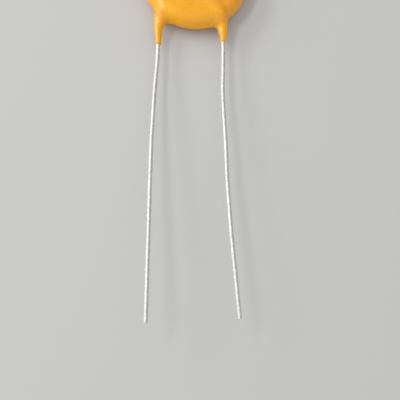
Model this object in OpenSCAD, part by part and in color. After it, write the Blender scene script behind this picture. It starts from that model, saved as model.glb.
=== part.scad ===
// Ceramic disc capacitor: a silvered ceramic disc between two soldered wire leads, dipped in epoxy.
// It lies on its back at z = 0, front face up, with its leads along -Y. Millimetres.

/* [Coating] */
// Diameter of the coated disc
coat_d = 16.8; // [16.2:0.1:19]
// Thickness of the coated disc, from the flat of its back to its front face
coat_t = 4; // [3.8:0.1:5]
// Width of the rounded rim, measured inwards from the edge
rim_w = 2; // [1.6:0.1:2.4]
// How far the two faces fall away between their flat middle and the rim
crown_h = 0.2; // [0.1:0.05:0.3]
// Radius of the flat middle of each face
flat_r = 4.6; // [3:0.1:5]
// Height of the ridge that the front lead raises in the front face
ridge_h = 0.2; // [0.1:0.05:0.3]
// How far each side of that lead the ridge spreads
ridge_reach = 2.4; // [1.6:0.1:3]

/* [Coating on the leads] */
// Diameter of the coat round the left lead, where it leaves the disc
left_sleeve_d = 1.2; // [1.1:0.05:1.6]
// Diameter of the coat round the right lead, where it leaves the disc
right_sleeve_d = 1.46; // [1.1:0.05:1.6]
// Diameter of either coat just above its rounded end
sleeve_end_d = 0.92; // [0.8:0.02:1]
// How far the coat runs down the left lead, past the edge of the disc
left_run = 2.6; // [2:0.1:5]
// How far the coat runs down the right lead, past the edge of the disc
right_run = 2.3; // [2:0.1:5]
// Length of the rounded end of either coat
run_end_l = 0.4; // [0.2:0.05:0.6]
// Thickness of the coat's edge on the wire
coat_edge = 0.03; // [0.02:0.01:0.08]
// Radius of the hollow between the disc and the outside of the left lead
left_outer_r = 3; // [2:0.1:4]
// Radius of the hollow between the disc and the inside of the left lead
left_inner_r = 1; // [0.6:0.1:1.3]
// Radius of the hollow between the disc and the outside of the right lead
right_outer_r = 1.5; // [0.8:0.1:3]
// Radius of the hollow between the disc and the inside of the right lead
right_inner_r = 0.8; // [0.6:0.1:1]

/* [Ceramic disc] */
// Diameter of the ceramic disc
ceramic_d = 14.4; // [12:0.1:14.8]
// Thickness of the ceramic disc
ceramic_t = 2; // [1.2:0.1:2.2]
// Radius of the ceramic disc's edges
ceramic_edge_r = 0.25; // [0.1:0.05:0.5]
// Bare ceramic round the silver on each face
silver_margin = 0.6; // [0.4:0.1:2]
// Thickness of the silver on each face
electrode_t = 0.05; // [0.02:0.01:0.08]

/* [Solder] */
// Width of each solder mound
solder_w = 2.4; // [1.6:0.1:3]
// Height of each solder mound above the silver
solder_h = 0.5; // [0.4:0.05:0.6]
// Length of each solder mound
solder_l = 6.5; // [4:0.1:7]
// Solder between the silver and the wire
solder_film = 0.05; // [0.03:0.01:0.1]

/* [Leads] */
// Diameter of the wire
wire_d = 0.6; // [0.5:0.05:0.65]
// Distance between the leads where they leave the coat
lead_pitch = 10; // [9.6:0.1:10.4]
// How far the middle between the leads lies right of the disc's centre
lead_shift = -0.91; // [-1:0.01:0]
// Free length of each lead, from the end of its coat to its tip
lead_free_l = 42.2; // [36:0.1:50]
// Length of each lead that lies on the disc's face, up to where the leads turn parallel
lead_inner_l = 9; // [7:0.1:10]
// How far the leads slant across the disc, in degrees
lead_slant_angle = 29.5; // [25:0.5:32]
// Distance from the disc's centre to the line where the leads turn parallel
lead_turn_y = 6.9; // [6.6:0.1:7.2]
// How far the left lead climbs towards its tip, in degrees
left_climb_angle = 5.6; // [0:0.1:8]
// How far the right lead climbs towards its tip, in degrees
right_climb_angle = 4; // [0:0.1:8]
// Height of the left lead's axis where it leaves the coat, from the middle of the coat's thickness
left_exit_z = -0.1; // [-0.3:0.05:0.3]
// Height of the right lead's axis where it leaves the coat, from the middle of the coat's thickness
right_exit_z = 0.15; // [-0.3:0.05:0.3]

/* [Slight bends in the free leads] */
// Distances from the end of the coat to the left lead's bends
left_bends_at = [1.1, 7.6, 16.1]; // [0.5:0.1:30]
// Headings of the left lead after each bend, in degrees to the right
left_heading_angles = [-5.8, -4.1, -2.3]; // [-8:0.1:8]
// Distances from the end of the coat to the right lead's bends
right_bends_at = [1.5, 8.3, 16.8, 21.3, 29.8]; // [0.5:0.1:34]
// Headings of the right lead after each bend, in degrees to the right
right_heading_angles = [-3.1, 1.3, -0.1, 1.9, 3.5]; // [-8:0.1:8]

/* [Hidden] */
$fn = 64;

mid_z = coat_t/2;
wire_r = wire_d/2;
electrode_d = ceramic_d - 2*silver_margin;
face_z = ceramic_t/2 + electrode_t;             // outer face of either electrode, from the middle
lead_face_z = face_z + solder_film + wire_r;    // axis of a lead on its electrode, from the middle
cover_r = mid_z - lead_face_z;                  // the coat round that axis just reaches the face
coat_r = coat_d/2;
ring_r = coat_r - rim_w;                        // where the rounded rim meets the faces
rim_clear = 0.15;                               // the leads start to drop this far past the ceramic
drop_inset = 0.5;                               // and end their drop this far inside the coat's edge
drop_r = 1;                                     // radius of the wire's bends at the drop
course_r = 40;                                  // radius of the wire's slight bends below the coat

// A lead as [side, face, exit height, climb, coat diameter, run, outer and inner hollow, bends,
// headings]. side is -1 left and 1 right, and face is 1 front and -1 back.
left = [-1, -1, left_exit_z, left_climb_angle, left_sleeve_d, left_run, left_outer_r, left_inner_r,
        left_bends_at, left_heading_angles];
right = [1, 1, right_exit_z, right_climb_angle, right_sleeve_d, right_run, right_outer_r, right_inner_r,
         right_bends_at, right_heading_angles];

function side_of(lead) = lead[0];
function face_of(lead) = lead[1];
function exit_z_of(lead) = lead[2];
function climb_of(lead) = lead[3];
function sleeve_r_of(lead) = lead[4]/2;
function coat_end_y(lead) = -coat_r - lead[5];
function hollow_r(lead, way) = way == side_of(lead) ? lead[6] : lead[7];
function bends_of(lead) = lead[8];
function headings_of(lead) = lead[9];
function lead_x(lead) = lead_shift + side_of(lead)*lead_pitch/2;

function lerp(a, b, u) = a + (b - a)*u;
function smooth(u) = let (c = min(max(u, 0), 1)) c*c*(3 - 2*c);
function polar(r, a) = r*[cos(a), sin(a)];
function unit(v) = v/norm(v);

// ---- where each lead runs ----

// Where a line from p along u first meets the circle of radius r about the disc's axis
function meet(p, u, r) = let (b = p*u) p + u*(-b - sqrt(b*b - p*p + r*r));

function slant_of(lead) = [-side_of(lead)*sin(lead_slant_angle), cos(lead_slant_angle)];
function turn_of(lead) = [lead_x(lead), -lead_turn_y];
function inner_end(lead) = turn_of(lead) + slant_of(lead)*lead_inner_l;
function on_slant(lead, r) = meet(turn_of(lead), slant_of(lead), r);
function drop_start(lead) = on_slant(lead, ceramic_d/2 + rim_clear);
function drop_end(lead) = [lead_x(lead), -coat_r + drop_inset];

function heading(turn, climb) = [sin(turn)*cos(climb), -cos(turn)*cos(climb), sin(climb)];

// The corners of the lead's axis below the coat, then its tip
function course_points(lead) =
    let (at = bends_of(lead), n = len(at),
         lengths = [for (i = [0:n - 1]) (i < n - 1 ? at[i + 1] : lead_free_l) - at[i]],
         first = [lead_x(lead), coat_end_y(lead) - at[0], mid_z + exit_z_of(lead)])
    [for (i = 0, p = first; i <= n;
          p = i < n ? p + lengths[i]*heading(headings_of(lead)[i], climb_of(lead)) : p, i = i + 1) p];

// The corners inside the coat: on the face, where the lead starts to drop and where it ends its drop
function buried_points(lead) =
    let (on_face = mid_z + face_of(lead)*lead_face_z, out = mid_z + exit_z_of(lead),
         e = inner_end(lead), s = drop_start(lead), d = drop_end(lead))
    [[e.x, e.y, on_face], [s.x, s.y, on_face], [d.x, d.y, out]];

function lead_points(lead) =
    concat(buried_points(lead), course_points(lead));

// ---- the body of the coating ----
// It is blended from the round disc, a straight neck round each lead and the ridge over each lead.
// Each of these is a field, which is below 0 inside the body and 0 on its surface.

// The disc: an elliptical rim round faces that fall away towards it
function disc_field(p) =
    let (r = norm([p.x, p.y]), half = mid_z - crown_h*smooth((r - flat_r)/(ring_r - flat_r)))
    half*(norm([max(r - ring_r, 0)/rim_w, (p.z - mid_z)/half]) - 1);

// How far along the line from a to b the point p lies, from 0 to 1, and its distance from that line
function share(p, a, b) = let (ab = b - a) min(max((p - a)*ab/(ab*ab), 0), 1);
function away(p, a, b) = norm(p - lerp(a, b, share(p, a, b)));

// The hollow between the disc and one side of a lead's coat: an arc that meets both smoothly.
// way is 1 on the right of the lead and -1 on its left.
function hollow_c(lead, way) =
    let (r = hollow_r(lead, way), x = lead_x(lead) + way*(sleeve_r_of(lead) + r))
    [x, -sqrt(pow(coat_r + r, 2) - x*x)];

// Below this line the coat on a lead narrows to its end
function collar_y(lead) = min(hollow_c(lead, -1).y, hollow_c(lead, 1).y, drop_end(lead).y);

// Radius of the coat on a lead, a distance e above its rounded end
function sleeve_r(lead, e) =
    let (full = collar_y(lead) - coat_end_y(lead), thin = wire_r + coat_edge,
         r = lerp(sleeve_end_d/2, sleeve_r_of(lead), smooth((e - run_end_l)/(full - run_end_l))),
         q = 1 - min(max(e/run_end_l, 0), 1))
    thin + (r - thin)*sqrt(1 - q*q);

function neck_field(lead, p) =
    let (x = lead_x(lead), out = mid_z + exit_z_of(lead))
    away(p, [x, -ring_r, out], [x, coat_end_y(lead) - rim_w, out])
        - sleeve_r(lead, p.y - coat_end_y(lead));

// The ridge thins to nothing over the lead's drop, where the neck takes over from it
function ridge_field(lead, p) =
    let (c = buried_points(lead))
    min(away(p, c[0], c[1]) - cover_r,
        away(p, c[1], c[2]) - lerp(cover_r, wire_r, share(p, c[1], c[2])));

// The width of blend that fills the corner between disc and neck as far as the hollow's arc does
function blend_w(lead, way) =
    let (corner = 90 - asin(way*(lead_x(lead) + way*sleeve_r_of(lead))/coat_r))
    4*hollow_r(lead, way)*(1 - cos(corner/2));

// Union of two fields, with a smooth fillet where they are within w of each other
function blend(a, b, w) = min(a, b) - pow(max(w - abs(a - b), 0), 2)/(4*w);

neck_blend = 0.5;       // width of blend between a ridge and its neck

// The disc's field with a neck added: one side's width of blend gives way to the other's across it
function add_neck(f, lead, p) =
    let (side = side_of(lead), out = (p.x - lead_x(lead))*side/(3*sleeve_r_of(lead)))
    blend(f, neck_field(lead, p),
          lerp(blend_w(lead, -side), blend_w(lead, side), smooth(0.5 + out)));

// On the faces a ridge lies so deep that the blend raises it by its height. It comes up and steepens
// towards the edge, where it covers the lead by itself.
function ridge_fade(p) = smooth((norm([p.x, p.y]) - flat_r)/(coat_r - flat_r));
ridge_sink = ridge_reach - 2*sqrt(ridge_reach*ridge_h);

function body_field(p) =
    let (necks = add_neck(add_neck(disc_field(p), left, p), right, p),
         fade = ridge_fade(p), sink = ridge_sink*(1 - fade), w = lerp(ridge_reach, neck_blend, fade))
    blend(blend(necks, ridge_field(left, p) + sink, w), ridge_field(right, p) + sink, w);

// Where a ray from inside the body leaves it, by halving the stretch between near and far.
// The body lies flat on its back, so nothing reaches below 0.
halvings = 13;
function leave(start, way, far, near = 0, n = halvings) =
    n == 0 ? let (p = start + way*far) [p.x, p.y, max(p.z, 0)]
    : let (t = (near + far)/2)
        body_field(start + way*t) < 0 ? leave(start, way, far, t, n - 1)
        : leave(start, way, t, near, n - 1);

// ---- its skin ----

rim_steps = 8;      // from the edge to either face
neck_steps = 10;    // along the leads' axes, down to the collar line
sleeve_steps = 6;   // from there down to the rounded ends
end_steps = 4;      // round the ends
turn_steps = 4;     // along the ring, beside each lead
arc_step = 3.6;     // degrees, along the rest of the disc

function hollow_from(lead, way) = let (c = hollow_c(lead, way)) atan2(-c.y, -c.x);
function hollow_to(way) = way > 0 ? 180 : 0;
function hollow_l(lead, way) =
    hollow_r(lead, way)*abs(hollow_to(way) - hollow_from(lead, way))*PI/180;
function disc_angle(lead, way) = let (c = hollow_c(lead, way)) atan2(c.y, c.x);
function ring_angle(lead) = let (p = on_slant(lead, ring_r)) atan2(p.y, p.x);

// The outline, a fraction v of the way from the disc to the collar line
function neck_edge(lead, way, v) =
    let (c = hollow_c(lead, way), arc = hollow_l(lead, way), s = v*(arc + c.y - collar_y(lead)))
    s < arc
        ? c + polar(hollow_r(lead, way), lerp(hollow_from(lead, way), hollow_to(way), s/arc))
        : [lead_x(lead) + way*sleeve_r_of(lead), c.y - (s - arc)];

// The line inside the neck: down the slant, over the drop and on to the collar line
function neck_line(lead) =
    [on_slant(lead, ring_r), drop_start(lead), drop_end(lead), [lead_x(lead), collar_y(lead)]];
function neck_l(lead, i = 3) =
    i == 0 ? 0 : norm(neck_line(lead)[i] - neck_line(lead)[i - 1]) + neck_l(lead, i - 1);
function along(line, s, i = 0) =
    let (step = norm(line[i + 1] - line[i]))
    s <= step || i == len(line) - 2
        ? lerp(line[i], line[i + 1], step > 0 ? s/step : 0)
        : along(line, s - step, i + 1);

// A station across the rim: [point of the outline, inner point, height of the middle]
function disc_station(a) = [polar(coat_r, a), polar(ring_r, a), mid_z];

function neck_station(lead, way, v, p) = [neck_edge(lead, way, v), p, mid_z + exit_z_of(lead)*smooth(v)];
function ring_l(lead, way) = ring_r*abs(disc_angle(lead, way) - ring_angle(lead))*PI/180;
function turn_station(lead, way, u) =
    let (arc = ring_l(lead, way))
    neck_station(lead, way, u*arc/(arc + neck_l(lead)),
                 polar(ring_r, lerp(disc_angle(lead, way), ring_angle(lead), u)));
function crest_station(lead, way, u) =
    let (s = u*neck_l(lead), arc = ring_l(lead, way))
    neck_station(lead, way, (arc + s)/(arc + neck_l(lead)), along(neck_line(lead), s));

// A station a distance e above the end of the coat
function sleeve_station(lead, way, e) =
    let (p = [lead_x(lead), coat_end_y(lead) + e])
    [p + [way*sleeve_r_of(lead), 0], p, mid_z + exit_z_of(lead)];

// All stations of one side of a lead, from the disc to the end of the coat
function side_stations(lead, way) =
    let (full = collar_y(lead) - coat_end_y(lead))
    concat([for (i = [0:turn_steps - 1]) turn_station(lead, way, i/turn_steps)],
           crest_side(lead, way, full));
function crest_side(lead, way, full) =
    concat([for (i = [0:neck_steps - 1]) crest_station(lead, way, i/neck_steps)],
           [for (i = [0:sleeve_steps]) sleeve_station(lead, way, lerp(full, run_end_l, i/sleeve_steps))],
           [for (i = [1:end_steps]) sleeve_station(lead, way, run_end_l*(1 - sin(90*i/end_steps)))]);

function reversed(v) = [for (i = [len(v) - 1:-1:0]) v[i]];
function arc_stations(a, b) =
    let (n = ceil((b - a)/arc_step)) [for (i = [1:n - 1]) disc_station(lerp(a, b, i/n))];

// Round the top of the disc from the end of the right lead's coat to the end of the left one's,
// and back along the bottom of the disc
over_the_top = concat(reversed(side_stations(right, 1)),
                      arc_stations(disc_angle(right, 1), disc_angle(left, -1) + 360),
                      side_stations(left, -1));
under_the_disc = concat(reversed(side_stations(left, 1)),
                        arc_stations(disc_angle(left, 1), disc_angle(right, -1)),
                        side_stations(right, -1));

// The skin along a station: rays fanned out from its inner point, from the back to the front
function skin_row(st) =
    let (out = st[0] - st[1], wide = norm(out), start = [st[1].x, st[1].y, st[2]])
    [for (j = [0:2*rim_steps])
        let (f = 90*(j/rim_steps - 1), n = out/wide*cos(f))
        leave(start, [n.x, n.y, sin(f)], 1/norm([cos(f)/(1.5*wide), sin(f)/coat_t]))];

// The skin as one solid. The two rows of stations share their inner points along the leads' axes.
module skin() {
    row = 2*rim_steps + 1;
    top_n = len(over_the_top);
    low_n = len(under_the_disc);
    shared = len(crest_side(right, 1, 1));     // stations of each lead that lie on its axis
    rings = [for (f = [0.9:-0.1:0.1]) f];      // parts of the way from the border to the middle

    function at(i, j) = i*row + j;             // a point of the upper row of stations
    function low(i, j) =                       // a point of the lower one
        (j == 0 || j == row - 1) && i < shared ? at(top_n - 1 - i, j)
        : (j == 0 || j == row - 1) && i >= low_n - shared ? at(low_n - 1 - i, j)
        : (top_n + i)*row + j;

    // The faces' border, in order round the disc
    border = concat([for (i = [shared - 1:top_n - shared]) [0, i]],
                    [for (i = [shared:low_n - shared - 1]) [1, i]]);
    n = len(border);
    function border_id(b, j) = b[0] == 0 ? at(b[1], j) : low(b[1], j);
    function border_xy(b) = (b[0] == 0 ? over_the_top : under_the_disc)[b[1]][1];

    skin_points = [for (st = concat(over_the_top, under_the_disc)) each skin_row(st)];
    face_points = [for (face = [1, -1]) each concat(
        [for (f = rings, b = border) let (p = border_xy(b)*f)
            leave([p.x, p.y, mid_z], [0, 0, face], coat_t)],
        [leave([0, 0, mid_z], [0, 0, face], coat_t)])];
    face_n = len(rings)*n + 1;
    function face_id(k, ring, i) =             // ring -1 is the border itself
        ring < 0 ? border_id(border[i%n], k == 0 ? row - 1 : 0)
        : len(skin_points) + k*face_n + (ring == len(rings) ? face_n - 1 : ring*n + i%n);

    rim = concat(
        [for (i = [0:top_n - 2], j = [0:row - 2])
            [at(i, j), at(i, j + 1), at(i + 1, j + 1), at(i + 1, j)]],
        [for (i = [0:low_n - 2], j = [0:row - 2])
            [low(i, j), low(i, j + 1), low(i + 1, j + 1), low(i + 1, j)]]);
    ends = [
        concat([for (j = [row - 1:-1:0]) at(0, j)], [for (j = [1:row - 2]) low(low_n - 1, j)]),
        concat([for (j = [0:row - 1]) at(top_n - 1, j)], [for (j = [row - 2:-1:1]) low(0, j)])];
    faces = [for (k = [0, 1], ring = [-1:len(rings) - 1], i = [0:n - 1])
        let (a = face_id(k, ring, i), b = face_id(k, ring, i + 1),
             c = face_id(k, ring + 1, i + 1), d = face_id(k, ring + 1, i),
             f = ring == len(rings) - 1 ? [a, b, c] : [a, b, c, d])
        k == 0 ? reversed(f) : f];
    polyhedron(concat(skin_points, face_points), concat(rim, ends, faces), convexity = 6);
}

// ---- wire ----

// Turns +Z to the direction v
module aim(v) { rotate([0, acos(v.z/norm(v)), atan2(v.y, v.x)]) children(); }

// A round wire through the points, bent to radii[i] at its inner corner i. Each bend is a hair
// thinner than the straights and reaches a little way into them, so that they join as one solid.
module bent_wire(points, radii, r) {
    n = len(points);
    reach = 0.02;
    bend_r = r - 0.002;
    function dir(i) = unit(points[i + 1] - points[i]);
    function bend(i) = acos(min(dir(i - 1)*dir(i), 1));
    function trim(i) = i == 0 || i == n - 1 ? 0 : radii[i - 1]*tan(bend(i)/2);
    for (i = [0:n - 2])
        translate(points[i] + dir(i)*trim(i)) aim(dir(i))
            cylinder(r = r, h = norm(points[i + 1] - points[i]) - trim(i) - trim(i + 1));
    for (i = [1:n - 2]) {
        y = dir(i - 1);
        x = -unit(dir(i) - y*(dir(i)*y));      // from the bend's centre to where the bend starts
        z = cross(x, y);
        c = points[i] - y*trim(i) - x*radii[i - 1];
        more = asin(reach/radii[i - 1]);
        multmatrix([[x.x, y.x, z.x, c.x], [x.y, y.y, z.y, c.y], [x.z, y.z, z.z, c.z]])
            rotate([0, 0, -more]) rotate_extrude(angle = bend(i) + 2*more)
                translate([radii[i - 1], 0]) circle(bend_r);
    }
}

module lead(which) {
    points = lead_points(which);
    radii = [for (i = [1:len(points) - 2]) i < 3 ? drop_r : course_r];
    bent_wire(points, radii, wire_r);
}

// ---- solder ----

// A long low mound along the lead: the part of a round-ended bar that stands above the silver
module solder_mound(which) {
    bar_r = (solder_w*solder_w/4 + solder_h*solder_h)/(2*solder_h);
    depth = bar_r - solder_h;
    bar_l = solder_l + 2*(bar_r - solder_w/2);
    u = slant_of(which);
    past_end = 0.5;
    from = inner_end(which) + u*past_end;
    up = face_of(which);
    mid = [0, 0, mid_z];
    difference() {
        intersection() {
            translate([from.x, from.y, mid_z + up*(face_z - depth)]) aim([-u.x, -u.y, 0])
                translate([0, 0, -(bar_l - solder_l)/2]) round_bar(bar_r, bar_l);
            translate(mid + [0, 0, up > 0 ? face_z : -face_z - solder_h])
                linear_extrude(solder_h) circle(electrode_d/2);
        }
        lead(which);
    }
}

module round_bar(r, l) {
    rotate_extrude() intersection() {
        union() {
            translate([0, r]) circle(r);
            translate([0, l - r]) circle(r);
            translate([0, r]) square([r, l - 2*r]);
        }
        square([r, l]);
    }
}

// ---- the pieces ----

module ceramic_disc() {
    color("#b9a58a") translate([0, 0, mid_z - ceramic_t/2]) rotate_extrude() {
        e = ceramic_edge_r;
        square([ceramic_d/2 - e, ceramic_t]);
        translate([0, e]) square([ceramic_d/2, ceramic_t - 2*e]);
        for (y = [e, ceramic_t - e]) translate([ceramic_d/2 - e, y]) circle(e);
    }
}

module electrode(z) { color("#d8d8d4") translate([0, 0, z]) cylinder(d = electrode_d, h = electrode_t); }
module front_electrode() { electrode(mid_z + ceramic_t/2); }
module back_electrode() { electrode(mid_z - face_z); }

module front_solder() { color("#b4b6b8") solder_mound(right); }
module back_solder() { color("#b4b6b8") solder_mound(left); }

module left_lead() { color("#e4e4e0") lead(left); }
module right_lead() { color("#e4e4e0") lead(right); }

module coating() {
    color("#f5a92c") difference() {
        skin();
        ceramic_disc();
        front_electrode();
        back_electrode();
        front_solder();
        back_solder();
        left_lead();
        right_lead();
    }
}

coating();
ceramic_disc();
front_electrode();
back_electrode();
front_solder();
back_solder();
left_lead();
right_lead();
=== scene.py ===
import math

import bmesh
import bpy
import numpy as np
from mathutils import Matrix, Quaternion, Vector


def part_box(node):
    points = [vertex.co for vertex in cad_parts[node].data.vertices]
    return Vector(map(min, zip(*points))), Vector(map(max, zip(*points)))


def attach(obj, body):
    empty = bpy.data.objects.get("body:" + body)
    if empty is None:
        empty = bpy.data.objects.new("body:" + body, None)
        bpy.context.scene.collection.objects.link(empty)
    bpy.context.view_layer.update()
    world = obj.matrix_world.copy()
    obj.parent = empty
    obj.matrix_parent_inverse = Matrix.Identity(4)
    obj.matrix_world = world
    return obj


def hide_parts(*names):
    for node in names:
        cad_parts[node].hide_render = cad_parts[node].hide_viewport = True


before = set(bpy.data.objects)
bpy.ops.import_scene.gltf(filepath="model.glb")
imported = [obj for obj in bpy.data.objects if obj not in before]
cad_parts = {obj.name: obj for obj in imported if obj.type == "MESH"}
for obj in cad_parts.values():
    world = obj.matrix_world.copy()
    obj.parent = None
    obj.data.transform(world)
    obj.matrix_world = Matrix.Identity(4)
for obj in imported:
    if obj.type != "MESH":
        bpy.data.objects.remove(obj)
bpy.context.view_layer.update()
mm = 0.001          # all lengths are in metres, apart from the lens and the sensor
body = "root"       # nothing on it moves, so all of it rides here
print("frame loaded:", len(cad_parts), "nodes")

# the camera looks down on the part as it lies, from above the middle of the leads
shot = {
    "place": (-5.99 * mm, -50.62 * mm, 96.97 * mm),
    "aim": (0.05 * mm, -34.98 * mm, 0),
    "roll": 20,               # degrees
    "lens": 58.5,             # mm, for a sensor of this width
    "sensor": 36,
    "near": 1 * mm,
    "far": 10,
}


def makeCamera():
    # it points from its place to the aim, then rolls about that line
    data = bpy.data.cameras.new("camera")
    data.lens = shot["lens"]
    data.sensor_width = shot["sensor"]
    data.sensor_fit = "HORIZONTAL"
    data.clip_start = shot["near"]
    data.clip_end = shot["far"]
    camera = bpy.data.objects.new("camera", data)
    bpy.context.scene.collection.objects.link(camera)
    place = Vector(shot["place"])
    turned = (Vector(shot["aim"]) - place).to_track_quat("-Z", "Y")
    camera.rotation_mode = "QUATERNION"
    camera.rotation_quaternion = turned @ Quaternion((0, 0, 1), math.radians(shot["roll"]))
    camera.location = place
    bpy.context.scene.camera = camera


makeCamera()
print("camera placed")

# the disc's axis stands at x = y = 0 and its flat back lies on z = 0
wire = {
    "radius": 0.3 * mm,
    "pitch": 10 * mm,
    "shift": -0.91 * mm,      # middle of the leads from the disc's centre
    "free": 42.2 * mm,        # from the end of the coat to the tip
    "inner": 9 * mm,          # on the disc's face
    "slant": 29.5,            # degrees, across the disc
    "turnY": 6.9 * mm,        # where the leads turn parallel
    "dropFrom": 7.35 * mm,    # they leave the face this far from the centre, past the ceramic,
    "dropInset": 0.5 * mm,    # and are down this far inside the disc's edge
    "dropRadius": 1 * mm,
    "courseRadius": 40 * mm,
    "faceHeight": 1.4 * mm,   # axis of a lead on its face, from the middle of the disc
}

# side is -1 left and 1 right of the middle, and face -1 on the back and 1 on the front of the disc.
# exit is the lead's height from the disc's middle where it leaves the coat, and climb its rise from the
# first bend on, in degrees. sleeve is the coat's radius round it, and run how far that goes on past the
# disc's edge. outerHollow and innerHollow are the radii of the arcs between disc and sleeve, away from
# the other lead and towards it. A bend is its distance past the end of the coat, and the heading from
# there on in degrees to the right.
leads = {
    "left_lead": {
        "side": -1, "face": -1, "exit": -0.1 * mm, "climb": 5.6,
        "sleeve": 0.6 * mm, "run": 2.6 * mm, "outerHollow": 3 * mm, "innerHollow": 1 * mm,
        "bends": [(1.1 * mm, -5.8), (7.6 * mm, -4.1), (16.1 * mm, -2.3)],
    },
    "right_lead": {
        "side": 1, "face": 1, "exit": 0.15 * mm, "climb": 4,
        "sleeve": 0.73 * mm, "run": 2.3 * mm, "outerHollow": 1.5 * mm, "innerHollow": 0.8 * mm,
        "bends": [(1.5 * mm, -3.1), (8.3 * mm, 1.3), (16.8 * mm, -0.1),
                  (21.3 * mm, 1.9), (29.8 * mm, 3.5)],
    },
}
left, right = leads["left_lead"], leads["right_lead"]

coat = {
    "radius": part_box("coating")[1].y,     # the disc's edge
    "thickness": 4 * mm,
    "rim": 2 * mm,                        # width of the rounded rim
    "crown": 0.2 * mm,                    # fall of the faces towards the rim
    "flat": 4.6 * mm,                     # radius of the flat middle
    "cover": 0.6 * mm,                    # of the coat over the leads' axes, on the disc
    "ridge": 0.2 * mm,                    # height of the ridges over the leads
    "ridgeReach": 2.4 * mm,               # how wide they spread into the faces
    "neckBlend": 0.5 * mm,
    "sideSpan": 3,                        # sleeve radii from one hollow's blend to the other's
    "sleeveEnd": 0.46 * mm,               # radius of the coat just above its end
    "endLength": 0.4 * mm,
    "edge": 0.03 * mm,                    # thickness of the coat's edge on the wire
    "thinLength": 0.9 * mm,               # of the coat's end that the wire shows through
    "thinShow": 0.6,                      # how much of it shows, at most
    "poolDepth": 0.3 * mm,                # painted a deeper orange where the blends thicken the coat this much: partly the colour of thicker coat, partly painted shade in those hollows
    "poolAndShadeTint": 0.45,
    "paintedShadeEdge": 1 * mm,                    # and painted shade on the far side of the front lead's ridge, which faces away from the lamps
    "paintedShadeWidth": 5 * mm,
    "paintedShadeTint": 0.35,
    "rimPoints": 49,                      # from the back to the front, across the rim
    "neckPoints": 60,
    "sleevePoints": 24,
    "endPoints": 12,
    "turnPoints": 14,
    "arcStep": 1,                         # degrees, round the rest of the disc
    "faceRings": 48,
    "rayReach": 1.5,                      # how far a ray goes sideways, in widths of its cut
    "halvings": 26,                       # of the stretch in which a ray leaves the coat
}
ringRadius = coat["radius"] - coat["rim"]
middle = coat["thickness"] / 2
dropTo = coat["radius"] - wire["dropInset"]


def smooth(u):
    # 0 below 0 and 1 above 1, with 3 u squared less 2 u cubed between them
    u = np.clip(u, 0, 1)
    return u * u * (3 - 2 * u)


def mix(a, b, u):
    # from a to b as u goes from 0 to 1
    return a + (b - a) * u


def leadX(lead):
    # half the pitch to the lead's side of the leads' middle
    return wire["shift"] + lead["side"] * wire["pitch"] / 2


def coatEndY(lead):
    # the coat runs down the lead, past the disc's edge
    return -coat["radius"] - lead["run"]


def slantWay(lead):
    # up the disc's face, leaning towards the other lead by the slant
    a = math.radians(wire["slant"])
    return np.array([-lead["side"] * math.sin(a), math.cos(a)])


def turnPlace(lead):
    # where the slanting line meets the line on which the lead leaves the coat
    return np.array([leadX(lead), -wire["turnY"]])


def innerEnd(lead):
    # the turn plus the inner length up the slant
    return turnPlace(lead) + slantWay(lead) * wire["inner"]


def onSlant(lead, radius):
    # the slanting line from the turn meets the circle of this radius: the lower root of the quadratic
    p, u = turnPlace(lead), slantWay(lead)
    b = p @ u
    return p - u * (b + math.sqrt(b * b - p @ p + radius * radius))


def heading(turn, climb):
    # unit vector down the part, turned to the right and raised by these degrees
    t, c = math.radians(turn), math.radians(climb)
    return np.array([math.sin(t) * math.cos(c), -math.cos(t) * math.cos(c), math.sin(c)])


def corners(lead):
    # the lead's corner points: inner end, drop, coat's exit, then each slight bend and the tip
    onFace = middle + lead["face"] * wire["faceHeight"]
    out = middle + lead["exit"]
    e, s = innerEnd(lead), onSlant(lead, wire["dropFrom"])
    points = [np.array([*e, onFace]), np.array([*s, onFace]), np.array([leadX(lead), -dropTo, out])]
    bends = lead["bends"]
    points.append(np.array([leadX(lead), coatEndY(lead) - bends[0][0], out]))
    reaches = [at for at, way in bends[1:]] + [wire["free"]]
    for (at, way), reach in zip(bends, reaches):
        points.append(points[-1] + (reach - at) * heading(way, lead["climb"]))
    return points


meshing = {
    "merge": 0.0002 * mm,     # points closer than this become one
    "sharpFrom": 50,          # degrees between two faces from which their edge stays sharp
}


def gridFaces(rows, columns, closed=False):
    # quads between neighbouring rows and columns of a grid of points, rows * columns in all
    j = np.arange(columns if closed else columns - 1)
    i = np.arange(rows - 1)[:, None] * columns
    k = (j + 1) % columns
    quads = np.stack([i + j, i + k, i + columns + k, i + columns + j], axis=-1)
    return quads.reshape(-1, 4)


def fanFaces(first, n, centre):
    # triangles from the sides of a closed ring, whose n points start at first, to the point centre
    i = np.arange(n)
    return np.column_stack([first + i, first + (i + 1) % n, np.full(n, centre)])


def joinParts(parts):
    # parts are (points, groups of faces): each face's numbers rise by the points of the parts before
    firsts = np.cumsum([0] + [len(points) for points, groups in parts])
    faces = []
    for (points, groups), first in zip(parts, firsts):
        for group in groups:
            faces.extend(group + first)
    return np.concatenate([points for points, groups in parts]), faces


def makePiece(name, points, faces, material, values=None):
    # values holds, for each attribute's name, a number for every point; faces end up pointing outwards
    mesh = bpy.data.meshes.new(name)
    mesh.from_pydata(points.tolist(), [], [f.tolist() for f in faces])
    for key, numbers in (values or {}).items():
        layer = mesh.attributes.new(key, "FLOAT", "POINT")
        layer.data.foreach_set("value", np.asarray(numbers, np.float32))
    weld = bmesh.new()
    weld.from_mesh(mesh)
    bmesh.ops.remove_doubles(weld, verts=weld.verts, dist=meshing["merge"])
    bmesh.ops.recalc_face_normals(weld, faces=weld.faces)
    weld.to_mesh(mesh)
    weld.free()
    mesh.polygons.foreach_set("use_smooth", np.ones(len(mesh.polygons), bool))
    mesh.set_sharp_from_angle(angle=math.radians(meshing["sharpFrom"]))
    mesh.materials.append(material)
    piece = bpy.data.objects.new(name, mesh)
    bpy.context.scene.collection.objects.link(piece)
    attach(piece, body)
    return piece


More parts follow.
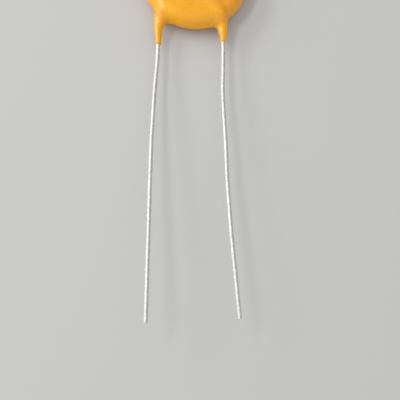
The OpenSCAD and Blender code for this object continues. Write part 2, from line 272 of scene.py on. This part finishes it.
# The coat is one body, blended from the round disc, a straight neck round each lead and the ridge
# that each lead raises. All of these are fields: below zero inside, zero on the surface.

def discField(p):
    # elliptical rim round a middle disc whose half thickness falls away towards the rim:
    # half * (length of (distance past the ring / rim, height / half) - 1)
    r = np.hypot(p[..., 0], p[..., 1])
    half = middle - coat["crown"] * smooth((r - coat["flat"]) / (ringRadius - coat["flat"]))
    past = np.maximum(r - ringRadius, 0) / coat["rim"]
    return half * (np.hypot(past, (p[..., 2] - middle) / half) - 1)


def awayFrom(p, a, b):
    # distance from the line between a and b, and how far along it p lies, from 0 to 1
    along = b - a
    u = np.clip((p - a) @ along / (along @ along), 0, 1)
    return np.linalg.norm(p - a - u[..., None] * along, axis=-1), u


def hollowCentre(lead, way):
    # centre and radius r of the arc between the disc and one side of a lead's coat: it lies r beside
    # the sleeve and r beyond the disc's edge, so y squared is (edge + r) squared less x squared
    r = lead["outerHollow"] if way == lead["side"] else lead["innerHollow"]
    x = leadX(lead) + way * (lead["sleeve"] + r)
    return np.array([x, -math.sqrt((coat["radius"] + r) ** 2 - x * x)]), r


def hollowAngle(lead, way):
    # direction of that centre from the disc's
    centre = hollowCentre(lead, way)[0]
    return math.atan2(centre[1], centre[0])


def collarY(lead):
    # from here down, below both hollows and the lead's drop, the coat is a straight sleeve
    return min(hollowCentre(lead, -1)[0][1], hollowCentre(lead, 1)[0][1], -dropTo)


def sleeveRadius(lead, y):
    # it swells from above the coat's end to the collar, and the end is a quarter of an ellipse:
    # thin + (r - thin) * square root of (1 - q squared), with q from 1 to 0 over the end's length
    up, full = y - coatEndY(lead), collarY(lead) - coatEndY(lead)
    swell = smooth((up - coat["endLength"]) / (full - coat["endLength"]))
    r = mix(coat["sleeveEnd"], lead["sleeve"], swell)
    q = 1 - np.clip(up / coat["endLength"], 0, 1)
    thin = wire["radius"] + coat["edge"]
    return thin + (r - thin) * np.sqrt(1 - q * q)


def neckField(lead, p):
    # distance from the straight line on which the lead leaves the coat, less the sleeve's radius
    out, x = middle + lead["exit"], leadX(lead)
    top, end = np.array([x, -ringRadius, out]), np.array([x, coatEndY(lead) - coat["rim"], out])
    return awayFrom(p, top, end)[0] - sleeveRadius(lead, p[..., 1])


def ridgeField(lead, p):
    # distance from the lead on its face, less the cover; it thins to nothing over the lead's drop,
    # where the neck takes over
    inner, drop, out = corners(lead)[:3]
    fall, u = awayFrom(p, drop, out)
    onDrop = fall - mix(coat["cover"], wire["radius"], u)
    return np.minimum(awayFrom(p, inner, drop)[0] - coat["cover"], onDrop)


def ridgeBlend(p):
    # width of the blend, and how deep the ridge sinks so that the blend raises it by its height:
    # sink = reach - 2 sqrt(reach * height) on the faces, falling to 0 at the rim
    r = np.hypot(p[..., 0], p[..., 1])
    u = smooth((r - coat["flat"]) / (coat["radius"] - coat["flat"]))
    sink = coat["ridgeReach"] - 2 * math.sqrt(coat["ridgeReach"] * coat["ridge"])
    return mix(coat["ridgeReach"], coat["neckBlend"], u), sink * (1 - u)


def blendWidth(lead, way):
    # the blend that fills the corner between disc and neck as far as an arc of the hollow's radius:
    # 4 r (1 - cosine of half the corner)
    r = hollowCentre(lead, way)[1]
    corner = math.pi / 2 - math.asin(way * (leadX(lead) + way * lead["sleeve"]) / coat["radius"])
    return 4 * r * (1 - math.cos(corner / 2))


def blend(a, b, width):
    # smooth union: the lesser field, less a parabola where the two are within a width of each other
    near = np.maximum(width - np.abs(a - b), 0)
    return np.minimum(a, b) - near * near / (4 * width)


def coatField(p):
    # the blended field, and how much thicker the blends make the coat there
    f = plain = discField(p)
    for lead in (left, right):
        outwards = (p[..., 0] - leadX(lead)) * lead["side"] / (coat["sideSpan"] * lead["sleeve"])
        inner, outer = blendWidth(lead, -lead["side"]), blendWidth(lead, lead["side"])
        neck = neckField(lead, p)
        f = blend(f, neck, mix(inner, outer, smooth(0.5 + outwards)))
        plain = np.minimum(plain, neck)
    width, sink = ridgeBlend(p)
    for lead in (left, right):
        ridge = ridgeField(lead, p) + sink
        f = blend(f, ridge, width)
        plain = np.minimum(plain, ridge)
    return f, plain - f


def castOut(start, way, reach):
    # where rays from inside the body leave it, by halving the stretch between inside and outside
    near, far = np.zeros(way.shape[:-1]), np.broadcast_to(reach, way.shape[:-1]).copy()
    for step in range(coat["halvings"]):
        t = (near + far) / 2
        inside = coatField(start + way * t[..., None])[0] < 0
        near, far = np.where(inside, t, near), np.where(inside, far, t)
    p = start + way * near[..., None]
    p[..., 2] = np.maximum(p[..., 2], 0)     # it lies flat on its back
    return p


def neckEdge(lead, way, v):
    # outline from the disc (v = 0) round the hollow's arc and straight down to the collar (v = 1)
    centre, r = hollowCentre(lead, way)
    start, end = math.atan2(-centre[1], -centre[0]), math.pi if way > 0 else 0
    arc = r * abs(end - start)
    s = v * (arc + centre[1] - collarY(lead))
    angle = mix(start, end, np.minimum(s / arc, 1))
    x = centre[0] + r * np.cos(angle)
    y = centre[1] + r * np.sin(angle) - np.maximum(s - arc, 0)
    return np.stack([x, y], axis=-1)


def ring(radius, angle):
    # radius times (cosine, sine), round the disc's centre
    return radius * np.stack([np.cos(angle), np.sin(angle)], axis=-1)


def cuts(edge, inner, height):
    # one row per cut across the rim: the outline's point, the inner point and the height between them
    return np.column_stack([edge, inner, np.broadcast_to(height, len(edge))])


def discCuts(fromAngle, toAngle):
    # straight in from the disc's edge to the ring where the rim begins, a step of angle apart
    n = math.ceil((toAngle - fromAngle) / math.radians(coat["arcStep"]))
    angle = np.linspace(fromAngle, toAngle, n + 1)[1:-1]
    return cuts(ring(coat["radius"], angle), ring(ringRadius, angle), middle)


def neckCuts(lead, way):
    # inner points go round the ring and on down the lead's own line to the collar, and the
    # outline's points keep pace with them by length
    slanted = onSlant(lead, ringRadius)
    fromAngle, toAngle = hollowAngle(lead, way), math.atan2(slanted[1], slanted[0])
    drop, collar = onSlant(lead, wire["dropFrom"]), [leadX(lead), collarY(lead)]
    line = np.array([slanted, drop, [leadX(lead), -dropTo], collar])
    far = np.concatenate([[0], np.cumsum(np.linalg.norm(np.diff(line, axis=0), axis=-1))])
    arc, length = ringRadius * abs(toAngle - fromAngle), far[-1]
    u = np.arange(coat["turnPoints"]) / coat["turnPoints"]
    s = np.arange(coat["neckPoints"]) / coat["neckPoints"] * length
    onLine = np.column_stack([np.interp(s, far, line[:, 0]), np.interp(s, far, line[:, 1])])
    inner = np.concatenate([ring(ringRadius, mix(fromAngle, toAngle, u)), onLine])
    v = np.concatenate([u * arc, arc + s]) / (arc + length)
    return cuts(neckEdge(lead, way, v), inner, middle + lead["exit"] * smooth(v))


def sleeveCuts(lead, way):
    # straight out from the lead's line: even steps to the rounded end, then by 1 - sine round it
    turned = np.arange(1, coat["endPoints"] + 1) / coat["endPoints"] * math.pi / 2
    straight = np.linspace(collarY(lead) - coatEndY(lead), coat["endLength"], coat["sleevePoints"])
    up = np.concatenate([straight, coat["endLength"] * (1 - np.sin(turned))])
    inner = np.column_stack([np.full(len(up), leadX(lead)), coatEndY(lead) + up])
    return cuts(inner + np.array([way * lead["sleeve"], 0]), inner, middle + lead["exit"])


def besideLead(lead, way):
    # all cuts along one side of a lead, from the disc down to the coat's end
    return np.concatenate([neckCuts(lead, way), sleeveCuts(lead, way)])


def acrossRim(rows):
    # rays from each cut's inner point, fanned from straight back to straight forward, each as long
    # as the radius of an ellipse that is wider than the cut and as high as the coat
    f = np.linspace(-math.pi / 2, math.pi / 2, coat["rimPoints"])
    out = rows[:, 0:2] - rows[:, 2:4]
    wide = np.linalg.norm(out, axis=-1)[:, None]
    flat = (out / wide)[:, None, :] * np.cos(f)[None, :, None]
    rise = np.broadcast_to(np.sin(f)[None, :, None], (len(rows), len(f), 1))
    start = np.concatenate([rows[:, 2:4], rows[:, 4:5]], axis=-1)[:, None, :]
    width, height = coat["rayReach"] * wide, coat["thickness"]
    reach = 1 / np.hypot(np.cos(f)[None, :] / width, np.sin(f)[None, :] / height)
    return castOut(start, np.concatenate([flat, rise], axis=-1), reach)


def facePoints(border, face):
    # the border drawn in towards the middle ring by ring, with rays straight up or down from there
    shrink = np.linspace(1, 0, coat["faceRings"] + 1)[:, None, None]
    p = border[None, :, :2] * shrink
    start = np.concatenate([p, np.full(p.shape[:-1] + (1,), middle)], axis=-1)
    grid = castOut(start, np.broadcast_to([0.0, 0.0, float(face)], start.shape), coat["thickness"])
    grid[0] = border
    return grid


def facePart(border, face):
    # the rings inside the border, closed by a fan to the point in the middle
    grid = facePoints(border, face)
    rings, n = grid[:-1].reshape(-1, 3), len(border)
    groups = [gridFaces(coat["faceRings"], n, closed=True), fanFaces(len(rings) - n, n, len(rings))]
    return np.concatenate([rings, grid[-1, :1]]), groups


def endPart(lead, rowA, rowB):
    # the coat's edge on the wire: a fan from the last rows of both sides to the lead's line
    loop = np.concatenate([rowA, rowB[::-1][1:-1]])
    centre = np.array([[leadX(lead), coatEndY(lead), middle + lead["exit"]]])
    return np.concatenate([loop, centre]), [fanFaces(0, len(loop), len(loop))]


def coatParts():
    # one strip of rim goes round the disc from lead to lead and one runs between the leads; each
    # face lies inside the strips' front or back column, where that doesn't run along a lead
    around = acrossRim(np.concatenate([
        besideLead(right, 1)[::-1],
        discCuts(hollowAngle(right, 1), hollowAngle(left, -1) + 2 * math.pi),
        besideLead(left, -1)]))
    between = acrossRim(np.concatenate([
        besideLead(left, 1)[::-1],
        discCuts(hollowAngle(left, 1), hollowAngle(right, -1)),
        besideLead(right, -1)]))
    parts = [(strip.reshape(-1, 3), [gridFaces(*strip.shape[:2])]) for strip in (around, between)]
    onLead = coat["neckPoints"] + coat["sleevePoints"] + coat["endPoints"]
    for column, face in ((-1, 1), (0, -1)):
        border = np.concatenate([around[onLead - 1:len(around) - onLead + 1, column],
                                 between[onLead:len(between) - onLead, column]])
        parts.append(facePart(border, face))
    parts.append(endPart(right, around[0], between[-1]))
    parts.append(endPart(left, around[-1], between[0]))
    return parts


def wireShows(points):
    # most at the coat's end on the wire, falling to nothing over the thin length
    end = np.where(points[:, 0] > wire["shift"], coatEndY(right), coatEndY(left))
    return coat["thinShow"] * smooth(1 - (points[:, 1] - end) / coat["thinLength"])


def shadeAndThickCoat(points):
    # painted a deeper orange where the blends made the coat thicker, partly painted shade in those
    # hollows, and painted shade on the front beyond the right lead's ridge, the side away from the lamps
    pooled = coatField(points)[1] / coat["poolDepth"]
    inner, drop = corners(right)[:2]
    across = np.cross(drop - inner, [0, 0, 1.0])
    beyond = (inner - points) @ across / np.linalg.norm(across)
    near = 1 - (awayFrom(points, inner, drop)[0] - coat["paintedShadeWidth"] / 2) / coat["paintedShadeWidth"]
    paintedShade = smooth(beyond / coat["paintedShadeEdge"]) * smooth(near) * (points[:, 2] > middle)
    return np.clip(coat["poolAndShadeTint"] * smooth(pooled) + coat["paintedShadeTint"] * paintedShade, 0, 1)


def makeCoating():
    # the field's surface, whose points also carry how thin the coat is there and how much deeper orange
    # it gets: painted shade, partly the colour of thicker coat
    points, faces = joinParts(coatParts())
    values = {"thin": wireShows(points), "deep": shadeAndThickCoat(points)}
    piece = makePiece("coating_skin", points, faces, epoxyMaterial(), values)
    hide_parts("coating")


draw = {
    "tipLength": 0.35 * mm,          # of the end that the cutter pinched
    "tipPinch": 0.12,                # share of the height it took
    "tipBulge": 0.04 * mm,           # of the cut face
    "tipRings": 8,
    "capRings": (0.86, 0.5, 0.18),   # radii of the rings on an end's face, as shares of the wire's
    "sides": 32,                     # points round the wire
    "step": 0.4 * mm,                # along it, at most
    "arcPoints": 9,                  # round each bend
    "waver": 0.006,                  # share of the radius that the tin varies by
    "waverRate": 1.7,                # radians for each millimetre
    "waverShift": 3,                 # radians, back for the left lead and on for the right
}


def evenSteps(a, b):
    # points from a towards b, no more than a step apart, without b itself
    n = max(math.ceil(np.linalg.norm(b - a) / draw["step"]), 1)
    return a + (b - a) * (np.arange(n) / n)[:, None]


def roundedPath(points, radii):
    # straight stretches joined by arcs: start + way in * r sin a + turn side * r (1 - cos a)
    path, last = [], points[0]
    for before, corner, after, r in zip(points, points[1:], points[2:], radii):
        wayIn = (corner - before) / np.linalg.norm(corner - before)
        wayOut = (after - corner) / np.linalg.norm(after - corner)
        turn = math.acos(min(wayIn @ wayOut, 1))
        side = (wayOut - wayIn * math.cos(turn)) / math.sin(turn)
        start = corner - wayIn * r * math.tan(turn / 2)
        path.append(evenSteps(last, start))
        a = np.linspace(0, turn, draw["arcPoints"])[:, None]
        arc = start + wayIn * r * np.sin(a) + side * r * (1 - np.cos(a))
        path.append(arc[:-1])
        last = arc[-1]
    path.append(evenSteps(last, points[-1]))
    return np.concatenate(path + [points[-1][None]])


def leadPath(lead):
    # the rounded path as far as the cut face, in finer steps where the end is pinched, and its last way
    points = corners(lead)
    last = points[-1] - points[-2]
    last = last / np.linalg.norm(last)
    points[-1] = points[-1] - last * draw["tipBulge"]      # so that the bulge ends where the lead does
    radii = [wire["dropRadius"]] * 2 + [wire["courseRadius"]] * (len(points) - 4)
    path = roundedPath(points, radii)
    fine = points[-1] - np.linspace(draw["tipLength"], 0, draw["tipRings"])[:, None] * last
    keep = (path - points[-1]) @ last < -draw["tipLength"]
    return np.concatenate([path[keep], fine]), last


def leadRings(lead, path):
    # a circle carried along the path: point + side * r cos a + up * squeeze * r sin a, where r wavers
    # with a sine of the length s and the squeeze grows over the pinched end
    along = np.gradient(path, axis=0)
    along /= np.linalg.norm(along, axis=-1)[:, None]
    side = np.cross(along, [0, 0, 1.0])
    side /= np.linalg.norm(side, axis=-1)[:, None]
    up = np.cross(side, along)
    s = np.concatenate([[0], np.cumsum(np.linalg.norm(np.diff(path, axis=0), axis=-1))])
    wave = np.sin(s / mm * draw["waverRate"] + draw["waverShift"] * lead["side"])
    r = wire["radius"] * (1 - draw["waver"] * (0.5 + 0.5 * wave))
    squeeze = 1 - draw["tipPinch"] * smooth((s - s[-1] + draw["tipLength"]) / draw["tipLength"])
    a = np.linspace(0, 2 * math.pi, draw["sides"], endpoint=False)
    return (path[:, None] + side[:, None] * (r[:, None] * np.cos(a))[..., None]
            + up[:, None] * ((r * squeeze)[:, None] * np.sin(a))[..., None])


def makeLead(name, lead):
    # rings close both ends: the inner one is flat, and the tip bulges by 1 - share of the radius squared
    path, last = leadPath(lead)
    rings = leadRings(lead, path)
    shrink = np.array(draw["capRings"])[:, None, None]
    bulge = last * (draw["tipBulge"] * (1 - shrink**2))
    cap = path[-1] + (rings[-1] - path[-1]) * shrink + bulge
    bottom = path[0] + (rings[0] - path[0]) * shrink[::-1]
    rings = np.concatenate([bottom, rings, cap])
    count, n = rings.shape[0], draw["sides"]
    points = np.concatenate([rings.reshape(-1, 3), [path[0], path[-1] + last * draw["tipBulge"]]])
    groups = [gridFaces(count, n, closed=True), fanFaces(0, n, count * n),
              fanFaces((count - 1) * n, n, count * n + 1)]
    piece = makePiece(name + "_wire", *joinParts([(points, groups)]), tinMaterial())
    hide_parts(name)


noiseSpan = (0.3, 0.7)        # most of a noise's values lie between these


def newMaterial(name):
    # an empty material, its nodes and links, and its shader
    material = bpy.data.materials.new(name)
    material.use_nodes = True
    nodes = material.node_tree.nodes
    return material, nodes, material.node_tree.links, nodes["Principled BSDF"]


def objectNoise(nodes, links, scale, detail, stretch=(1, 1, 1)):
    # noise in object coordinates; scale is features per metre, stretch slows it along an axis
    place = nodes.new("ShaderNodeTexCoord")
    mapping = nodes.new("ShaderNodeMapping")
    mapping.inputs["Scale"].default_value = stretch
    noise = nodes.new("ShaderNodeTexNoise")
    noise.inputs["Scale"].default_value = scale
    noise.inputs["Detail"].default_value = detail
    links.new(place.outputs["Object"], mapping.inputs["Vector"])
    links.new(mapping.outputs["Vector"], noise.inputs["Vector"])
    return noise.outputs["Fac"]


def attribute(nodes, name):
    # a number that the piece's points carry
    node = nodes.new("ShaderNodeAttribute")
    node.attribute_name = name
    return node.outputs["Fac"]


def ramp(nodes, links, source, stops, colours):
    # a colour at each stop of the source, and between them their mixtures
    node = nodes.new("ShaderNodeValToRGB")
    elements = node.color_ramp.elements
    for element, i in zip(elements, (0, -1)):
        element.position, element.color = stops[i], colours[i]
    for at, colour in zip(stops[1:-1], colours[1:-1]):
        elements.new(at).color = colour
    links.new(source, node.inputs["Fac"])
    return node.outputs["Color"]


def toRange(nodes, links, source, low, high):
    # the noise's span drawn out to go from low to high
    node = nodes.new("ShaderNodeMapRange")
    node.inputs["From Min"].default_value = noiseSpan[0]
    node.inputs["From Max"].default_value = noiseSpan[1]
    node.inputs["To Min"].default_value = low
    node.inputs["To Max"].default_value = high
    links.new(source, node.inputs["Value"])
    return node.outputs["Result"]


def addBump(nodes, links, shader, layers):
    # chained bumps; layers are (height source, (depth in metres, strength))
    normal = None
    for source, (depth, strength) in layers:
        bump = nodes.new("ShaderNodeBump")
        bump.inputs["Distance"].default_value = depth
        bump.inputs["Strength"].default_value = strength
        links.new(source, bump.inputs["Height"])
        if normal:
            links.new(normal, bump.inputs["Normal"])
        normal = bump.outputs["Normal"]
    links.new(normal, shader.inputs["Normal"])


def mixColours(nodes, links, factor, a, b):
    # from a to b by the factor; each is a colour or another node's output
    node = nodes.new("ShaderNodeMix")
    node.data_type = "RGBA"
    links.new(factor, node.inputs["Factor"])
    for source, socket in ((a, "A"), (b, "B")):
        target = [i for i in node.inputs if i.name == socket and i.type == "RGBA"][0]
        if isinstance(source, tuple):
            target.default_value = source
        else:
            links.new(source, target)
    return [o for o in node.outputs if o.type == "RGBA"][0]


epoxy = {
    "stops": (0.3, 0.5, 0.72),          # of the cloud, for a deep, an even and a pale amber
    "ambers": ((0.85, 0.38, 0.002, 1), (0.88, 0.415, 0.003, 1), (0.91, 0.45, 0.005, 1)),
    # painted shade: a deeper orange for the hollows, partly thicker coat, and for the far side of the
    # front ridge
    "shadeAndThickAmber": (0.80, 0.27, 0.006, 1),
    "thin": (0.62, 0.37, 0.05, 1),      # where the wire shows through the thin end
    "scatter": 0.5,
    "reach": (0.9 * mm, 0.35 * mm, 0.06 * mm),
    "cloud": 260,
    "cloudDetail": 5,
    "cloudBump": (0.04 * mm, 0.5),
    "peel": 1700,
    "peelDetail": 2,
    "peelBump": (0.006 * mm, 0.5),
    "roughness": (0.3, 0.38),
    "refraction": 1.45,
    "gloss": 0.7,                       # of the clear skin over the colour
    "glossRoughness": 0.26,
}


def epoxyMaterial():
    # cloudy amber, painted a deeper orange as shade in the blended hollows, where the coat is also
    # thicker, and beyond the front lead's ridge; pale where it is thin, with a faint peel
    material, nodes, links, shader = newMaterial("amber_epoxy")
    cloud = objectNoise(nodes, links, epoxy["cloud"], epoxy["cloudDetail"])
    amber = ramp(nodes, links, cloud, epoxy["stops"], epoxy["ambers"])
    # the painted shade, mixed in by the deep attribute
    shadedAndThick = mixColours(nodes, links, attribute(nodes, "deep"), amber, epoxy["shadeAndThickAmber"])
    colour = mixColours(nodes, links, attribute(nodes, "thin"), shadedAndThick, epoxy["thin"])
    links.new(colour, shader.inputs["Base Color"])
    peel = objectNoise(nodes, links, epoxy["peel"], epoxy["peelDetail"])
    links.new(toRange(nodes, links, peel, *epoxy["roughness"]), shader.inputs["Roughness"])
    shader.inputs["IOR"].default_value = epoxy["refraction"]
    shader.inputs["Subsurface Weight"].default_value = epoxy["scatter"]
    shader.inputs["Subsurface Radius"].default_value = epoxy["reach"]
    shader.inputs["Subsurface Scale"].default_value = 1
    shader.inputs["Coat Weight"].default_value = epoxy["gloss"]
    shader.inputs["Coat Roughness"].default_value = epoxy["glossRoughness"]
    addBump(nodes, links, shader, [(cloud, epoxy["cloudBump"]), (peel, epoxy["peelBump"])])
    return material


tin = {
    "stops": (0.35, 0.6),               # of the grain, for dull and bright
    "tones": ((0.79, 0.785, 0.75, 1), (0.95, 0.945, 0.92, 1)),
    "streak": 9000,
    "streakDetail": 3,
    "streakStretch": (1, 0.03, 1),      # long along the wire
    "streakBump": (0.002 * mm, 0.3),
    "grain": 2600,
    "grainDetail": 4,
    "grainBump": (0.004 * mm, 0.3),
    "roughness": (0.58, 0.74),
}


def tinMaterial():
    # bright tin over drawn wire: streaks along the wire and a faint grain
    material, nodes, links, shader = newMaterial("bright_tin")
    streak = objectNoise(nodes, links, tin["streak"], tin["streakDetail"], tin["streakStretch"])
    grain = objectNoise(nodes, links, tin["grain"], tin["grainDetail"])
    colour = ramp(nodes, links, grain, tin["stops"], tin["tones"])
    links.new(colour, shader.inputs["Base Color"])
    shader.inputs["Metallic"].default_value = 1
    links.new(toRange(nodes, links, streak, *tin["roughness"]), shader.inputs["Roughness"])
    addBump(nodes, links, shader, [(streak, tin["streakBump"]), (grain, tin["grainBump"])])
    return material


makeCoating()
print("coat made")
for name, lead in leads.items():
    makeLead(name, lead)
print("leads made")

mottle = {
    "stops": (0.35, 0.65),    # for an inner piece's dark and light tone
    "detail": 6,
}
innerFinishes = {
    "fired_ceramic": {
        "nodes": ["ceramic_disc"],
        "tones": ((0.44, 0.33, 0.22, 1), (0.55, 0.43, 0.3, 1)),
        "scale": 3000, "metallic": 0, "roughness": (0.6, 0.75), "bump": (0.01 * mm, 0.5),
    },
    "fired_silver": {
        "nodes": ["front_electrode", "back_electrode"],
        "tones": ((0.66, 0.65, 0.62, 1), (0.8, 0.79, 0.76, 1)),
        "scale": 5000, "metallic": 1, "roughness": (0.45, 0.6), "bump": (0.004 * mm, 0.5),
    },
    "soft_solder": {
        "nodes": ["front_solder", "back_solder"],
        "tones": ((0.5, 0.51, 0.53, 1), (0.66, 0.67, 0.68, 1)),
        "scale": 1800, "metallic": 1, "roughness": (0.22, 0.4), "bump": (0.02 * mm, 0.5),
    },
}


def innerMaterial(name, finish):
    # two tones in a fine mottle, with roughness and bump from the same noise
    material, nodes, links, shader = newMaterial(name)
    spots = objectNoise(nodes, links, finish["scale"], mottle["detail"])
    colour = ramp(nodes, links, spots, mottle["stops"], finish["tones"])
    links.new(colour, shader.inputs["Base Color"])
    shader.inputs["Metallic"].default_value = finish["metallic"]
    links.new(toRange(nodes, links, spots, *finish["roughness"]), shader.inputs["Roughness"])
    addBump(nodes, links, shader, [(spots, finish["bump"])])
    return material


def finishInside():
    # the pieces inside keep their own shapes
    for name, finish in innerFinishes.items():
        material = innerMaterial(name, finish)
        for node in finish["nodes"]:
            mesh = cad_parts[node].data
            mesh.materials.clear()
            mesh.materials.append(material)


finishInside()
print("inner pieces finished")

studio = {
    "floorSize": 3,
    "floorDrop": 0.01 * mm,      # below the flat that the part lies on, so that the two don't coincide
    "floorColour": (0.52, 0.52, 0.515, 1),
    "floorRoughness": 0.9,
    "world": (0.6, 0.6, 0.6, 1),
    "backdrop": (0.27, 0.27, 0.27, 1),
    "lampsAim": (0, -0.02, 0),
}
lamps = {
    "key": {"place": (-0.27, 0.1, 0.42), "size": (0.35, 0.09), "power": 0.73},
    "strip": {"place": (-0.37, 0.2, 0.25), "size": (0.4, 0.08), "power": 0.6},
    "side": {"place": (-0.45, 0.08, 0.17), "size": (0.55, 0.3), "power": 0.65},
    "fill": {"place": (0.1, -0.3, 0.58), "size": (0.9, 0.9), "power": 0.8},
}


def makeFloor():
    # one square, centred under the part
    half, z = studio["floorSize"] / 2, -studio["floorDrop"]
    square = [(-half, -half, z), (half, -half, z), (half, half, z), (-half, half, z)]
    mesh = bpy.data.meshes.new("floor")
    mesh.from_pydata(square, [], [(0, 1, 2, 3)])
    floor = bpy.data.objects.new("floor", mesh)
    bpy.context.scene.collection.objects.link(floor)
    material, nodes, links, shader = newMaterial("pale_floor")
    shader.inputs["Base Color"].default_value = studio["floorColour"]
    shader.inputs["Roughness"].default_value = studio["floorRoughness"]
    mesh.materials.append(material)


def makeLamps():
    # rectangles of light, all turned towards one aim
    for name, lamp in lamps.items():
        data = bpy.data.lights.new(name, "AREA")
        data.energy = lamp["power"]
        data.shape = "RECTANGLE"
        data.size, data.size_y = lamp["size"]
        light = bpy.data.objects.new(name, data)
        bpy.context.scene.collection.objects.link(light)
        place = Vector(lamp["place"])
        light.location = place
        light.rotation_mode = "QUATERNION"
        light.rotation_quaternion = (Vector(studio["lampsAim"]) - place).to_track_quat("-Z", "Y")


def seenFactor(nodes, links):
    # 1 for camera, glossy and transmission rays, and 0 for light on its way to the part
    path = nodes.new("ShaderNodeLightPath")
    total = path.outputs["Is Camera Ray"]
    for name in ("Is Glossy Ray", "Is Transmission Ray"):
        more = nodes.new("ShaderNodeMath")
        more.operation = "MAXIMUM"
        links.new(total, more.inputs[0])
        links.new(path.outputs[name], more.inputs[1])
        total = more.outputs["Value"]
    return total


def makeWorld():
    # one grey lights the part, and a darker one is seen past the floor and in the gloss
    world = bpy.data.worlds.new("world")
    world.use_nodes = True
    nodes, links = world.node_tree.nodes, world.node_tree.links
    colour = mixColours(nodes, links, seenFactor(nodes, links), studio["world"], studio["backdrop"])
    links.new(colour, nodes["Background"].inputs["Color"])
    bpy.context.scene.world = world


makeFloor()
makeLamps()
makeWorld()
bpy.context.scene.view_settings.view_transform = "Standard"
print("studio made")
